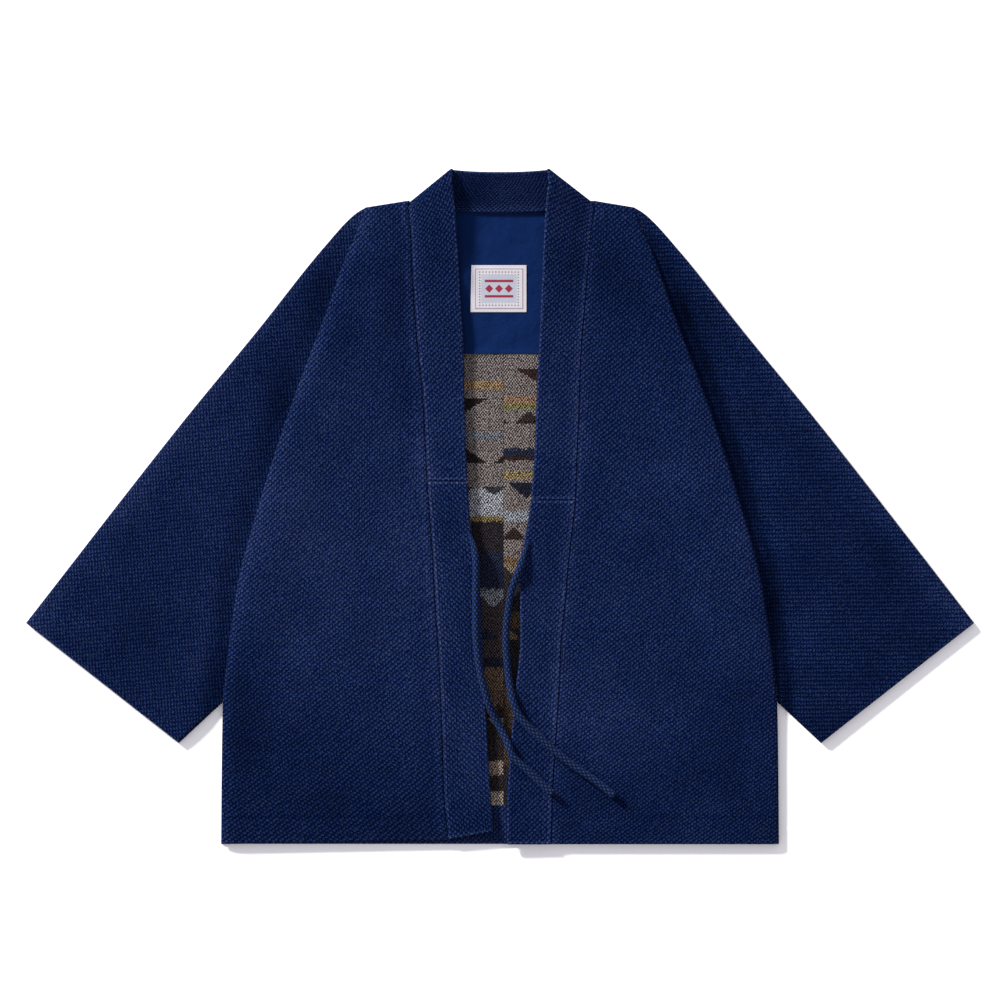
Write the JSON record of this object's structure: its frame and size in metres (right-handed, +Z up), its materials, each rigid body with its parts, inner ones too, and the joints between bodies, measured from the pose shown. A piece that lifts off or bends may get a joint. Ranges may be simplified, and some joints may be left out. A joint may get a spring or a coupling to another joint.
{
  "type": "haori laid flat",
  "caption": "Short open jacket with wide sleeves and a folded band collar, laid flat on its back with the front up and two tie cords hanging loose.",
  "frame": {"origin": "centre of the garment's box on the surface it lies on", "axes": "+X towards the wearer's left cuff, +Y towards the neck, +Z up out of the front"},
  "size_m": [1.0628, 0.7576, 0.0227],
  "materials": {
    "indigo_cotton": "matt rice-stitch weave",
    "blue_lining": "matt plain weave",
    "patterned_wool": "matt twill with woven motifs",
    "label_cloth": "satin weave",
    "braided_cord": "matt braid"
  },
  "bodies": {
    "root": {"back_panel": "indigo_cotton", "back_hem_facing": "indigo_cotton", "front_right": "indigo_cotton", "front_left": "indigo_cotton", "sleeve_right": "indigo_cotton", "sleeve_left": "indigo_cotton", "collar_neck": "indigo_cotton", "collar_lower_right": "indigo_cotton", "collar_lower_left": "indigo_cotton", "yoke_lining": "blue_lining", "back_lining_right": "patterned_wool", "back_lining_left": "patterned_wool", "neck_label": "label_cloth", "tie_right": "braided_cord", "tie_left": "braided_cord"}
  },
  "joints": []
}
